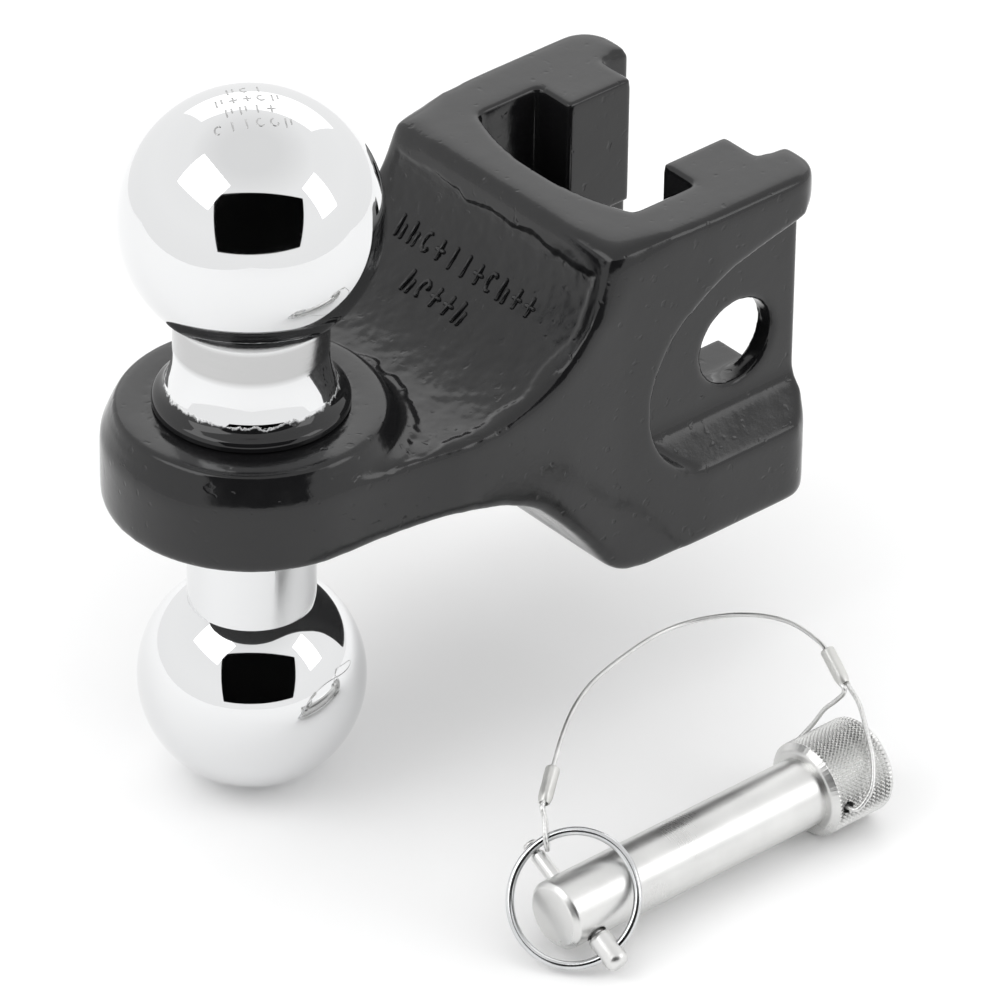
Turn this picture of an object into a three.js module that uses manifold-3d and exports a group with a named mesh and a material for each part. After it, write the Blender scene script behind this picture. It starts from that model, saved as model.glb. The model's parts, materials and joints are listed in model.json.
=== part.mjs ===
// Dual ball hitch mount with a channel back, and its loose hitch pin, snap pin, ring and lanyard.
// Millimetres, +Z up, +X from the balls towards the vehicle. The origin is on the axis of the
// pin hole, halfway between the two cheeks of the channel.

import * as THREE from 'three';
import { mergeVertices } from 'three/addons/utils/BufferGeometryUtils.js';
import Module from 'manifold-3d';

const wasm = await Module();
wasm.setup();

// ---------------------------------------------------------------- driving dimensions

const GAP = 0.3;                      // clearance left between pieces that touch
const PAST = 6;                       // how far a cutter runs past the face it cuts

// casting
const HALF_HEIGHT = 42.7;
const HALF_WIDTH = 40;
const WEB_X = -26.8;                  // channel floor, at its two edges
const WEB_HOLLOW = 5.5;               // how much deeper the channel floor is at its middle
const REAR_X = 17.8;
const REAR_CORNER_RADIUS = 8;
const CHANNEL_HALF = 26.1;
const LIP_HALF = 15.6;                // half of the gap between facing lips
const LIP_FRONT_X = -9.2;
const LIP_REAR_X = 9.3;
const LIP_END_Z = 10.8;               // the lips stop this far above and below the pin axis
const PIN_HOLE_RADIUS = 10.3;
const PIN_SEAT_Y = 31.5;              // floor of the recess around each pin hole
const RAMP_TOP_Z = -15;               // the lower wall of the recess slopes out from here

// head that carries the balls
const BALL_X = -113.4;
const HEAD_RADIUS = 33;
const ARM_TOP_Z = 10.7;
const ARM_BOTTOM_Z = -7.6;
const BOSS_TOP_Z = 16.5;
const BORE_RADIUS = 13;

// balls: 2 5/16 inch above, 2 inch below
const UPPER_BALL_RADIUS = 29.37;
const UPPER_BALL_Z = 63.1;
const UPPER_NECK_RADIUS = 17.4;
const UPPER_FLANGE_RADIUS = 21.8;
const LOWER_BALL_RADIUS = 25.4;
const LOWER_BALL_Z = -55.6;
const LOWER_NECK_RADIUS = 14.3;
const THREAD_RADIUS = 9.5;
const THREAD_END_Z = -38;

// hitch pin, lying along +X beside the mount, level with the foot of the lower ball
const FLOOR_Z = LOWER_BALL_Z - LOWER_BALL_RADIUS;
const PIN_RADIUS = 7.94;
const PIN_LENGTH = 72;
const HEAD_PIN_RADIUS = 11.1;
const HEAD_PIN_LENGTH = 18;
const PIN_TAIL_X = -109;
const PIN_Y = -96.5;
const PIN_Z = FLOOR_Z + HEAD_PIN_RADIUS + 0.1;
const STUB_RADIUS = 6;
const STUB_LENGTH = 12;
const CROSS_HOLE_FROM_TAIL = 6.5;
const CROSS_HOLE_RADIUS = 2.4;
const LANYARD_HOLE_FROM_FACE = 4.2;
const LANYARD_HOLE_RADIUS = 1.5;

// snap pin through the tail of the hitch pin, pointing forward and down
const SNAP_TILT = THREE.MathUtils.degToRad(27);
const SNAP_SHAFT_RADIUS = 1.7;
const SNAP_HEAD_RADIUS = 2.75;
const SNAP_HEAD_START = 8.3;          // distances along the snap pin from the hitch pin's axis
const SNAP_HEAD_END = 16.8;
const SNAP_RING_HOLE = 12.9;
const SNAP_RING_HOLE_RADIUS = 1.35;
const SNAP_GROOVE_RADIUS = 1.2;
const SNAP_TIP = -17.5;

// wire ring, hinged in the snap pin's head and resting in its groove
const WIRE_RADIUS = 0.95;
const RING_RADIUS = 14.3;             // to the middle of the wire
const RING_LEAN = THREE.MathUtils.degToRad(36);

// lanyard
const CABLE_RADIUS = 0.55;
const FERRULE_RADIUS = 1.65;
const FERRULE_LENGTH = 9;
const STRAND_SPREAD = 0.8;            // half the distance between the two strands of a loop

// ---------------------------------------------------------------- helpers

const point = (x, y, z) => new THREE.Vector3(x, y, z);

function material(color, roughness, metalness) {
  return new THREE.MeshStandardMaterial({ color, roughness, metalness });
}

// A closed geometry as a solid that can be cut and joined.
function solid(geometry) {
  const bare = geometry.index ? geometry.toNonIndexed() : geometry.clone();
  bare.deleteAttribute('normal');
  bare.deleteAttribute('uv');
  const merged = mergeVertices(bare);
  return new wasm.Manifold(new wasm.Mesh({
    numProp: 3,
    vertProperties: new Float32Array(merged.attributes.position.array),
    triVerts: new Uint32Array(merged.index.array),
  }));
}

function geometryOf(manifold) {
  const mesh = manifold.getMesh();
  const geometry = new THREE.BufferGeometry();
  geometry.setAttribute('position', new THREE.BufferAttribute(mesh.vertProperties, 3));
  geometry.setIndex(new THREE.BufferAttribute(mesh.triVerts, 1));
  geometry.computeVertexNormals();
  return geometry;
}

function named(name, geometry, look) {
  const mesh = new THREE.Mesh(geometry, look);
  mesh.name = name;
  return mesh;
}

// An outline drawn in X and Z, extruded along Y from y0 to y1.
function extrudeAlongY(shape, y0, y1, curveSegments = 10) {
  const geometry = new THREE.ExtrudeGeometry(shape, { depth: y1 - y0, bevelEnabled: false, curveSegments });
  return geometry.rotateX(Math.PI / 2).translate(0, y1, 0);
}

// An outline drawn in X and Y, extruded along Z from z0 to z1.
function extrudeAlongZ(shape, z0, z1, curveSegments = 10) {
  const geometry = new THREE.ExtrudeGeometry(shape, { depth: z1 - z0, bevelEnabled: false, curveSegments });
  return geometry.translate(0, 0, z0);
}

function polygon(points) {
  return new THREE.Shape(points.map(([x, y]) => new THREE.Vector2(x, y)));
}

function box(x0, x1, y0, y1, z0, z1) {
  const geometry = new THREE.BoxGeometry(x1 - x0, y1 - y0, z1 - z0);
  return geometry.translate((x0 + x1) / 2, (y0 + y1) / 2, (z0 + z1) / 2);
}

// A turned piece: [radius, height] pairs about Z.
function turned(profile, segments) {
  const points = profile.map(([radius, height]) => new THREE.Vector2(radius, height));
  return new THREE.LatheGeometry(points, segments).rotateX(Math.PI / 2);
}

// A round rod or cutter between two points.
function rod(from, to, radius, segments) {
  const along = to.clone().sub(from);
  const geometry = new THREE.CylinderGeometry(radius, radius, along.length(), segments);
  const turn = new THREE.Quaternion().setFromUnitVectors(point(0, 1, 0), along.clone().normalize());
  const middle = from.clone().add(to).multiplyScalar(0.5);
  return geometry.applyQuaternion(turn).translate(middle.x, middle.y, middle.z);
}

// Profile points of a ball from its pole down to where it meets its neck.
function ballArc(radius, centreZ, neckRadius, side, steps) {
  const end = Math.PI - Math.asin(neckRadius / radius);
  return Array.from({ length: steps + 1 }, (_, i) => {
    const angle = (end * i) / steps;
    return [radius * Math.sin(angle), centreZ + side * radius * Math.cos(angle)];
  });
}

// ---------------------------------------------------------------- casting

// Seen from the side: channel block at the rear, an arm to the head, a hollowed ramp above it
// and a sloping throat below it.
function sideOutline() {
  const rampStartX = -82.5;
  const rimX = -43.6;
  const outline = new THREE.Shape();
  outline.moveTo(REAR_X, -HALF_HEIGHT);
  outline.lineTo(REAR_X, HALF_HEIGHT);
  outline.lineTo(rimX, HALF_HEIGHT);
  outline.absellipse(rampStartX, HALF_HEIGHT, rimX - rampStartX, HALF_HEIGHT - ARM_TOP_Z,
    0, -Math.PI / 2, true);
  outline.lineTo(BALL_X - HEAD_RADIUS - PAST, ARM_TOP_Z);
  outline.lineTo(BALL_X - HEAD_RADIUS - PAST, ARM_BOTTOM_Z);
  outline.lineTo(-86, ARM_BOTTOM_Z);
  outline.quadraticCurveTo(-70, -9.4, -61.8, -16);
  outline.quadraticCurveTo(-51, -26.2, -43.4, -37.4);
  outline.quadraticCurveTo(-39.4, -HALF_HEIGHT, -33, -HALF_HEIGHT);
  outline.closePath();
  return outline;
}

// Seen from above: round head, an arm that widens, and the full width of the channel block.
function planOutline() {
  const outline = new THREE.Shape();
  const corner = REAR_CORNER_RADIUS;
  outline.absarc(BALL_X, 0, HEAD_RADIUS, Math.PI / 2, -Math.PI / 2, false);
  outline.quadraticCurveTo(-98, -33.4, -84, -36.8);
  outline.quadraticCurveTo(-66, -38.6, -40, -38.6);
  outline.lineTo(-14, -HALF_WIDTH);
  outline.lineTo(REAR_X - corner, -HALF_WIDTH);
  outline.absarc(REAR_X - corner, -HALF_WIDTH + corner, corner, -Math.PI / 2, 0, false);
  outline.absarc(REAR_X - corner, HALF_WIDTH - corner, corner, 0, Math.PI / 2, false);
  outline.lineTo(-14, HALF_WIDTH);
  outline.lineTo(-40, 38.6);
  outline.quadraticCurveTo(-66, 38.6, -84, 36.8);
  outline.quadraticCurveTo(-98, 33.4, BALL_X, HEAD_RADIUS);
  return outline;
}

// The channel as seen from above: a wide slot with a hollow floor, then the gap between the
// lips, then the flared mouth behind them.
function channelOutline() {
  const radius = (CHANNEL_HALF ** 2 + WEB_HOLLOW ** 2) / (2 * WEB_HOLLOW);
  const centreX = WEB_X - WEB_HOLLOW + radius;
  const half = Math.asin(CHANNEL_HALF / radius);
  const outline = new THREE.Shape();
  outline.absarc(centreX, 0, radius, Math.PI - half, Math.PI + half, false);
  outline.lineTo(LIP_FRONT_X, -CHANNEL_HALF);
  outline.lineTo(LIP_FRONT_X, -LIP_HALF);
  outline.lineTo(LIP_REAR_X, -LIP_HALF);
  outline.lineTo(LIP_REAR_X, -CHANNEL_HALF);
  outline.lineTo(REAR_X + PAST, -CHANNEL_HALF);
  outline.lineTo(REAR_X + PAST, CHANNEL_HALF);
  outline.lineTo(LIP_REAR_X, CHANNEL_HALF);
  outline.lineTo(LIP_REAR_X, LIP_HALF);
  outline.lineTo(LIP_FRONT_X, LIP_HALF);
  outline.lineTo(LIP_FRONT_X, CHANNEL_HALF);
  outline.closePath();
  return outline;
}

// The recess around a pin hole, seen from the side: round in front, open to the rear.
function recessOutline() {
  const outline = new THREE.Shape();
  outline.moveTo(REAR_X + PAST, 35.4);
  outline.quadraticCurveTo(4, 30.4, -8, 27.2);
  outline.quadraticCurveTo(-28, 19.5, -31.6, 1);
  outline.quadraticCurveTo(-32.6, -16, -17.5, -23);
  outline.quadraticCurveTo(-13, -24.6, -4, -23.6);
  outline.lineTo(REAR_X + PAST, -21.6);
  outline.closePath();
  return outline;
}

// One recess: its outline, as deep as the pin seat, with the lower wall sloping outwards.
function recess(side) {
  const outer = HALF_WIDTH + PAST;
  const prism = solid(extrudeAlongY(recessOutline(), side > 0 ? 0 : -outer, side > 0 ? outer : 0, 8));
  const depth = polygon([
    [PIN_SEAT_Y * side, HALF_HEIGHT],
    [outer * side, HALF_HEIGHT],
    [outer * side, RAMP_TOP_Z - (outer - PIN_SEAT_Y)],
    [PIN_SEAT_Y * side, RAMP_TOP_Z],
  ]);
  const length = 80;
  const wedge = new THREE.ExtrudeGeometry(depth, { depth: length, bevelEnabled: false });
  wedge.rotateX(Math.PI / 2).rotateZ(Math.PI / 2).translate(-length / 2, 0, 0);
  return prism.intersect(solid(wedge));
}

function castingGeometry() {
  const side = solid(extrudeAlongY(sideOutline(), -HALF_WIDTH - PAST, HALF_WIDTH + PAST, 12));
  const plan = solid(extrudeAlongZ(planOutline(), -HALF_HEIGHT - PAST, HALF_HEIGHT + PAST, 16));
  const boss = turned([
    [0, ARM_TOP_Z - 2],
    [HEAD_RADIUS - 1, ARM_TOP_Z - 2],
    [HEAD_RADIUS - 1, 13],
    [30.4, 15.6],
    [29, BOSS_TOP_Z],
    [0, BOSS_TOP_Z],
  ], 48).translate(BALL_X, 0, 0);
  const bore = rod(point(BALL_X, 0, ARM_BOTTOM_Z - PAST), point(BALL_X, 0, BOSS_TOP_Z + PAST), BORE_RADIUS, 32);
  const channel = extrudeAlongZ(channelOutline(), -HALF_HEIGHT - PAST, HALF_HEIGHT + PAST, 12);
  const lipGap = box(LIP_FRONT_X - 1, LIP_REAR_X + 1, -CHANNEL_HALF, CHANNEL_HALF, -LIP_END_Z, LIP_END_Z);
  const pinHole = rod(point(0, -HALF_WIDTH - PAST, 0), point(0, HALF_WIDTH + PAST, 0), PIN_HOLE_RADIUS, 40);
  const cutters = [bore, channel, lipGap, pinHole].map(solid).concat([recess(1), recess(-1)]);
  const blank = side.intersect(plan).add(solid(boss));
  return geometryOf(cutters.reduce((body, cutter) => body.subtract(cutter), blank));
}

// ---------------------------------------------------------------- balls

// The upper ball stands on the boss by its flange; its shank goes down through the bore.
function upperBallGeometry() {
  const seat = BOSS_TOP_Z + GAP;
  return turned([
    [0, THREAD_END_Z],
    [THREAD_RADIUS - 1, THREAD_END_Z],
    [THREAD_RADIUS, THREAD_END_Z + 1],
    [THREAD_RADIUS, ARM_BOTTOM_Z - 1],
    [BORE_RADIUS - GAP, ARM_BOTTOM_Z + 1],
    [BORE_RADIUS - GAP, seat],
    [UPPER_FLANGE_RADIUS, seat],
    [UPPER_FLANGE_RADIUS, 18.6],
    [19.6, 20.4],
    [18, 24.2],
    [UPPER_NECK_RADIUS, 27.5],
    ...ballArc(UPPER_BALL_RADIUS, UPPER_BALL_Z, UPPER_NECK_RADIUS, 1, 20).reverse(),
  ], 48).translate(BALL_X, 0, 0);
}

// The lower ball is screwed on from below, against the underside of the head.
function lowerBallGeometry() {
  const seat = ARM_BOTTOM_Z - GAP;
  const socket = THREAD_RADIUS + GAP;
  const foot = LOWER_NECK_RADIUS + 3.6;
  return turned([
    ...ballArc(LOWER_BALL_RADIUS, LOWER_BALL_Z, LOWER_NECK_RADIUS, -1, 18),
    [LOWER_NECK_RADIUS, -28],
    [LOWER_NECK_RADIUS, -14.5],
    [foot, -11],
    [foot, seat],
    [socket + 1.4, seat],
    [socket, seat - 1.4],
    [socket, THREAD_END_Z - 3],
    [0, THREAD_END_Z - 3 - socket / 2],
  ], 44).translate(BALL_X, 0, 0);
}

// ---------------------------------------------------------------- hitch pin

// The hitch pin's own frame starts in the middle of its tail face, with +X towards its head.

// The hole for the lanyard goes straight through the head, and through the stub inside it.
function lanyardHole() {
  const reach = HEAD_PIN_RADIUS + PAST;
  const x = PIN_LENGTH + LANYARD_HOLE_FROM_FACE;
  return solid(rod(point(x, -reach, 0), point(x, reach, 0), LANYARD_HOLE_RADIUS, 16));
}

function pinShankGeometry() {
  const shank = turned([
    [0, 0],
    [PIN_RADIUS - 1.1, 0],
    [PIN_RADIUS, 1.1],
    [PIN_RADIUS, PIN_LENGTH],
    [STUB_RADIUS, PIN_LENGTH],
    [STUB_RADIUS, PIN_LENGTH + STUB_LENGTH],
    [0, PIN_LENGTH + STUB_LENGTH],
  ], 40).rotateY(Math.PI / 2);
  const reach = PIN_RADIUS + PAST;
  const crossHole = rod(point(0, -reach, 0), point(0, reach, 0), CROSS_HOLE_RADIUS, 20)
    .rotateX(SNAP_TILT)
    .translate(CROSS_HOLE_FROM_TAIL, 0, 0);
  return geometryOf(solid(shank).subtract(solid(crossHole)).subtract(lanyardHole()));
}

// The head is a cap, pressed over the stub at the end of the shank.
function pinHeadGeometry() {
  const bore = STUB_RADIUS + GAP;
  const face = PIN_LENGTH + GAP;
  const end = PIN_LENGTH + HEAD_PIN_LENGTH;
  const socketEnd = PIN_LENGTH + STUB_LENGTH + GAP;
  const head = turned([
    [bore, face + 0.6],
    [PIN_RADIUS + 0.6, face],
    [HEAD_PIN_RADIUS - 1.5, face],
    [HEAD_PIN_RADIUS, face + 1.6],
    [HEAD_PIN_RADIUS, end - 1.2],
    [HEAD_PIN_RADIUS - 1.2, end],
    [0, end],
    [0, socketEnd],
    [bore, socketEnd],
    [bore, face + 0.6],
  ], 40).rotateY(Math.PI / 2);
  return geometryOf(solid(head).subtract(lanyardHole()));
}

// ---------------------------------------------------------------- snap pin and ring

// The snap pin's own frame is centred in the cross hole, with its head towards -Y. The ring's
// wire goes through the head along HINGE, and its far side rests on the groove near the tip.
const RING_REST_HEIGHT = SNAP_GROOVE_RADIUS + WIRE_RADIUS + GAP;
const RING_SPAN = Math.sqrt((2 * RING_RADIUS) ** 2 - RING_REST_HEIGHT ** 2);
const SNAP_GROOVE = SNAP_RING_HOLE - RING_SPAN;
const HINGE = point(Math.cos(RING_LEAN), 0, Math.sin(RING_LEAN));
const ACROSS = point(0, RING_SPAN, RING_REST_HEIGHT).normalize();

function snapPinGeometry() {
  const groove = -SNAP_GROOVE;
  const pin = turned([
    [0, -SNAP_HEAD_END],
    [SNAP_HEAD_RADIUS - 1, -SNAP_HEAD_END],
    [SNAP_HEAD_RADIUS, -SNAP_HEAD_END + 1.2],
    [SNAP_HEAD_RADIUS, -SNAP_HEAD_START - 0.6],
    [SNAP_HEAD_RADIUS - 0.6, -SNAP_HEAD_START],
    [SNAP_SHAFT_RADIUS, -SNAP_HEAD_START],
    [SNAP_SHAFT_RADIUS, groove - 1.5],
    [SNAP_GROOVE_RADIUS, groove - 0.9],
    [SNAP_GROOVE_RADIUS, groove + 0.7],
    [SNAP_SHAFT_RADIUS, groove + 1.1],
    [SNAP_SHAFT_RADIUS, -SNAP_TIP - 0.4],
    [SNAP_SHAFT_RADIUS - 0.4, -SNAP_TIP],
    [0, -SNAP_TIP],
  ], 24).rotateX(-Math.PI / 2);
  const middle = point(0, -SNAP_RING_HOLE, 0);
  const hole = rod(middle.clone().addScaledVector(HINGE, -PAST), middle.clone().addScaledVector(HINGE, PAST),
    SNAP_RING_HOLE_RADIUS, 16);
  return geometryOf(solid(pin).subtract(solid(hole)));
}

// The ring's own frame starts at the hinge: +X along it, +Y across the ring to the groove.
function ringGeometry() {
  return new THREE.TorusGeometry(RING_RADIUS, WIRE_RADIUS, 10, 56).translate(0, RING_RADIUS, 0);
}

// ---------------------------------------------------------------- lanyard

// Everything here is in the whole part's frame.

const PIN_TAIL = point(PIN_TAIL_X, PIN_Y, PIN_Z);
const CROSS_HOLE = PIN_TAIL.clone().add(point(CROSS_HOLE_FROM_TAIL, 0, 0));
const RING_FERRULE = { middle: point(-94.4, -77.8, -52), along: point(0.736, 0.519, 0.433) };
const HEAD_FERRULE = { middle: point(-20.3, -88.5, -48), along: point(-0.17, -0.85, -0.49) };
RING_FERRULE.along.normalize();
HEAD_FERRULE.along.normalize();

function tube(points) {
  const path = new THREE.CatmullRomCurve3(points, false, 'centripetal');
  const section = new THREE.Shape();
  section.absarc(0, 0, CABLE_RADIUS, 0, 2 * Math.PI, false);
  const steps = Math.min(80, Math.round(path.getLength() / (4 * CABLE_RADIUS)));
  return new THREE.ExtrudeGeometry(section, { steps, curveSegments: 4, bevelEnabled: false, extrudePath: path });
}

// A point on a ferrule's own line, measured from its middle.
const onFerrule = (ferrule, distance) => ferrule.middle.clone().addScaledVector(ferrule.along, distance);

function ferruleGeometry(ferrule) {
  const half = FERRULE_LENGTH / 2;
  const turn = new THREE.Quaternion().setFromUnitVectors(point(0, 0, 1), ferrule.along);
  return turned([
    [0, -half],
    [FERRULE_RADIUS - 0.4, -half],
    [FERRULE_RADIUS, -half + 0.5],
    [FERRULE_RADIUS, half - 0.5],
    [FERRULE_RADIUS - 0.4, half],
    [0, half],
  ], 20).applyQuaternion(turn).translate(ferrule.middle.x, ferrule.middle.y, ferrule.middle.z);
}

// A narrow loop of cable: out of the ring ferrule, round the wire beside the groove, and back.
function ringLoopGeometry() {
  const tilt = new THREE.Quaternion().setFromAxisAngle(point(1, 0, 0), SNAP_TILT);
  const hinge = HINGE.clone().applyQuaternion(tilt);
  const besideGroove = 2.4;
  const wire = point(0, -SNAP_GROOVE, RING_REST_HEIGHT);
  wire.applyQuaternion(tilt).add(CROSS_HOLE).addScaledVector(hinge, besideGroove);
  const base = onFerrule(RING_FERRULE, -FERRULE_LENGTH / 2 - GAP);
  const straight = onFerrule(RING_FERRULE, -FERRULE_LENGTH / 2 - GAP - 1);
  const up = base.clone().sub(wire).normalize();
  const aside = up.clone().cross(hinge).normalize();
  const at = (height, width) => wire.clone().addScaledVector(up, height).addScaledVector(aside, width);
  return tube([
    base.clone().addScaledVector(aside, STRAND_SPREAD),
    straight.clone().addScaledVector(aside, STRAND_SPREAD),
    at(4.2, 1.1),
    at(1.8, 1.7),
    at(0, 2),
    at(-1.9, 1.5),
    at(-2.7, 0),
    at(-1.9, -1.5),
    at(0, -2),
    at(1.8, -1.7),
    at(4.2, -1.1),
    straight.clone().addScaledVector(aside, -STRAND_SPREAD),
    base.clone().addScaledVector(aside, -STRAND_SPREAD),
  ]);
}

// The wide loop: out of the head ferrule, over the knurl, through the head and back behind it.
function headLoopGeometry() {
  const spread = point(STRAND_SPREAD, 0, 0);
  const base = onFerrule(HEAD_FERRULE, FERRULE_LENGTH / 2 + GAP);
  const straight = onFerrule(HEAD_FERRULE, FERRULE_LENGTH / 2 + GAP + 1);
  const holeX = PIN_TAIL_X + PIN_LENGTH + LANYARD_HOLE_FROM_FACE;
  return tube([
    base.clone().add(spread),
    straight.clone().add(spread),
    point(-20.6, -96.6, -53.2),
    point(-22.2, -101, -57.2),
    point(-24.6, -106, -61.8),
    point(-28.4, -109.6, -66.2),
    point(holeX + 0.6, -109.4, -69.5),
    point(holeX, -107, PIN_Z),
    point(holeX, -96.5, PIN_Z),
    point(holeX, -85.6, PIN_Z),
    point(holeX + 1.4, -83, -70),
    point(-26.6, -82.6, -69.2),
    point(-22.6, -84, -65.2),
    point(-21.8, -87, -59.6),
    point(-22, -91, -54.8),
    straight.clone().sub(spread),
    base.clone().sub(spread),
  ]);
}

// The lanyard itself, from the ring ferrule round in an arc to the head ferrule.
function lanyardCableGeometry() {
  return tube([
    onFerrule(RING_FERRULE, FERRULE_LENGTH / 2 + GAP),
    onFerrule(RING_FERRULE, FERRULE_LENGTH / 2 + GAP + 1.5),
    point(-83, -69.2, -47.4),
    point(-76.5, -64.5, -48),
    point(-69.5, -59.5, -49.9),
    point(-62, -54, -53),
    point(-53.5, -49, -56),
    point(-44, -44.5, -58.8),
    point(-35.5, -41, -61),
    point(-27, -38.4, -62.4),
    point(-18.6, -39, -62.9),
    point(-11.8, -43.8, -61.4),
    point(-8.6, -52, -58.6),
    point(-9.2, -61.4, -55.2),
    point(-12.4, -69.9, -51.6),
    point(-16.4, -77.8, -48.2),
    onFerrule(HEAD_FERRULE, -FERRULE_LENGTH / 2 - GAP - 1.5),
    onFerrule(HEAD_FERRULE, -FERRULE_LENGTH / 2 - GAP),
  ]);
}

// ---------------------------------------------------------------- assembly

const blackPaint = () => material(0x17181a, 0.34, 0.2);
const chrome = () => material(0xd9dbde, 0.06, 1);
const zincPlate = () => material(0xb9bbbd, 0.34, 1);
const bareSteel = () => material(0xc6c8ca, 0.22, 1);
const galvanized = () => material(0xa9abac, 0.42, 1);
const aluminium = () => material(0xc3c4c5, 0.46, 1);

const mount = new THREE.Group();
mount.add(
  named('ball_mount', castingGeometry(), blackPaint()),
  named('upper_ball', upperBallGeometry(), chrome()),
  named('lower_ball', lowerBallGeometry(), chrome()),
);

const ring = new THREE.Group();
ring.position.set(0, -SNAP_RING_HOLE, 0);
ring.setRotationFromMatrix(new THREE.Matrix4().makeBasis(HINGE, ACROSS, HINGE.clone().cross(ACROSS)));
ring.add(named('snap_ring', ringGeometry(), bareSteel()));

const snap = new THREE.Group();
snap.position.set(CROSS_HOLE_FROM_TAIL, 0, 0);
snap.rotation.x = SNAP_TILT;
snap.add(named('snap_pin', snapPinGeometry(), zincPlate()), ring);

const hitchPin = new THREE.Group();
hitchPin.position.copy(PIN_TAIL);
hitchPin.add(
  named('hitch_pin_shank', pinShankGeometry(), zincPlate()),
  named('hitch_pin_head', pinHeadGeometry(), zincPlate()),
  snap,
);

const lanyard = new THREE.Group();
lanyard.add(
  named('lanyard_ring_ferrule', ferruleGeometry(RING_FERRULE), aluminium()),
  named('lanyard_ring_loop', ringLoopGeometry(), galvanized()),
  named('lanyard_cable', lanyardCableGeometry(), galvanized()),
  named('lanyard_head_ferrule', ferruleGeometry(HEAD_FERRULE), aluminium()),
  named('lanyard_head_loop', headLoopGeometry(), galvanized()),
);

const part = new THREE.Group();
part.name = 'dual_ball_mount';
part.add(mount, hitchPin, lanyard);

export default part;
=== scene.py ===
"""Looks of a dual ball hitch mount and its hitch pin set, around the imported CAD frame.

Metres, in the CAD's frame: +X from the balls towards the vehicle, +Z up, and the origin on the
axis of the pin hole, halfway between the cheeks of the channel.
"""

import json
import math
import random

import bmesh
import bpy
import numpy as np
from mathutils import Matrix, Vector
from mathutils import noise as mathutils_noise


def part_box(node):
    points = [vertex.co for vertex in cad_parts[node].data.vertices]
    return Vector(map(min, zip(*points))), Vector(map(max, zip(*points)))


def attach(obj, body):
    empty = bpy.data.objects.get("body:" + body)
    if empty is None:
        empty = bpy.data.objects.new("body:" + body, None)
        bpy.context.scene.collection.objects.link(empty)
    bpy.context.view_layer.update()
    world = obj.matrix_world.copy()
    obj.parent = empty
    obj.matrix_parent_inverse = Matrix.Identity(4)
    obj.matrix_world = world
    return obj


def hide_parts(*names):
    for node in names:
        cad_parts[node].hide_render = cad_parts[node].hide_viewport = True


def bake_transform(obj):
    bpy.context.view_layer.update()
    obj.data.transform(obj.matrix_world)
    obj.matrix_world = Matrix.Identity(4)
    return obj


MM = 0.001

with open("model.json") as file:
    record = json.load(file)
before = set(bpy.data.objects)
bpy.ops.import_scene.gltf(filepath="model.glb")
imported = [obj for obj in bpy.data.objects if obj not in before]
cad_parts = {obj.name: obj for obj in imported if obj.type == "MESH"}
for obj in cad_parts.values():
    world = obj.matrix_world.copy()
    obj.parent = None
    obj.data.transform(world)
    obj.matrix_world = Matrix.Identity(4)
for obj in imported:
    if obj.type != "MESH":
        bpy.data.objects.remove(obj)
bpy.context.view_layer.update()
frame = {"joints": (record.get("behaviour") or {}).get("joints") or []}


# ------------------------------------------------------------------ places taken from the frame

JOINTS = {joint["name"]: joint for joint in frame["joints"]}
SNAP_AXIS = Vector(JOINTS["snap_pin_slide"]["axis"]).normalized()
HINGE_AXIS = Vector(JOINTS["snap_ring_hinge"]["axis"]).normalized()
HINGE_POINT = Vector(JOINTS["snap_ring_hinge"]["pos_m"])
PIN_AXIS = Vector((1, 0, 0))
SNAP_SIDE = SNAP_AXIS.cross(PIN_AXIS).normalized()

CASTING_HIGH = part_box("ball_mount")[1]
UPPER_LOW, UPPER_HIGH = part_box("upper_ball")
LOWER_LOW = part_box("lower_ball")[0]
SHANK_LOW, SHANK_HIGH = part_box("hitch_pin_shank")
HEAD_LOW, HEAD_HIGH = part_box("hitch_pin_head")

BALL_X = (UPPER_LOW.x + UPPER_HIGH.x) / 2
FLOOR_Z = LOWER_LOW.z - 0.2 * MM
PIN_TAIL = Vector((SHANK_LOW.x, (SHANK_LOW.y + SHANK_HIGH.y) / 2, (SHANK_LOW.z + SHANK_HIGH.z) / 2))
CROSS_HOLE = PIN_TAIL + Vector((6.5 * MM, 0, 0))


# ------------------------------------------------------------------ camera

CAMERA_PLACE = Vector((-1.2073, -1.3326, 1.1565))
CAMERA_AZIMUTH = math.radians(40.9)
CAMERA_DROP = math.radians(33.54)
CAMERA_ROLL = math.radians(0.72)
CAMERA_LENS = 343.9
CAMERA_SHIFT = (0.0376, -0.0884)


def make_camera():
    data = bpy.data.cameras.new("camera")
    data.sensor_width = 36
    data.lens = CAMERA_LENS
    data.shift_x, data.shift_y = CAMERA_SHIFT
    data.clip_start = 0.1
    data.clip_end = 20
    camera = bpy.data.objects.new("camera", data)
    bpy.context.scene.collection.objects.link(camera)
    turn = Matrix.Rotation(-CAMERA_AZIMUTH, 4, "Z") @ Matrix.Rotation(math.pi / 2 - CAMERA_DROP, 4, "X")
    camera.matrix_world = Matrix.Translation(CAMERA_PLACE) @ turn @ Matrix.Rotation(CAMERA_ROLL, 4, "Z")
    bpy.context.scene.camera = camera
    return camera


camera = make_camera()


# ------------------------------------------------------------------ mesh helpers


def new_object(name, mesh):
    piece = bpy.data.objects.new(name, mesh)
    bpy.context.scene.collection.objects.link(piece)
    return piece


def mesh_from(name, vertices, faces, smooth=True):
    mesh = bpy.data.meshes.new(name)
    mesh.from_pydata([tuple(v) for v in vertices], [], faces)
    mesh.update()
    mesh.polygons.foreach_set("use_smooth", [smooth] * len(mesh.polygons))
    return mesh


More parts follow.
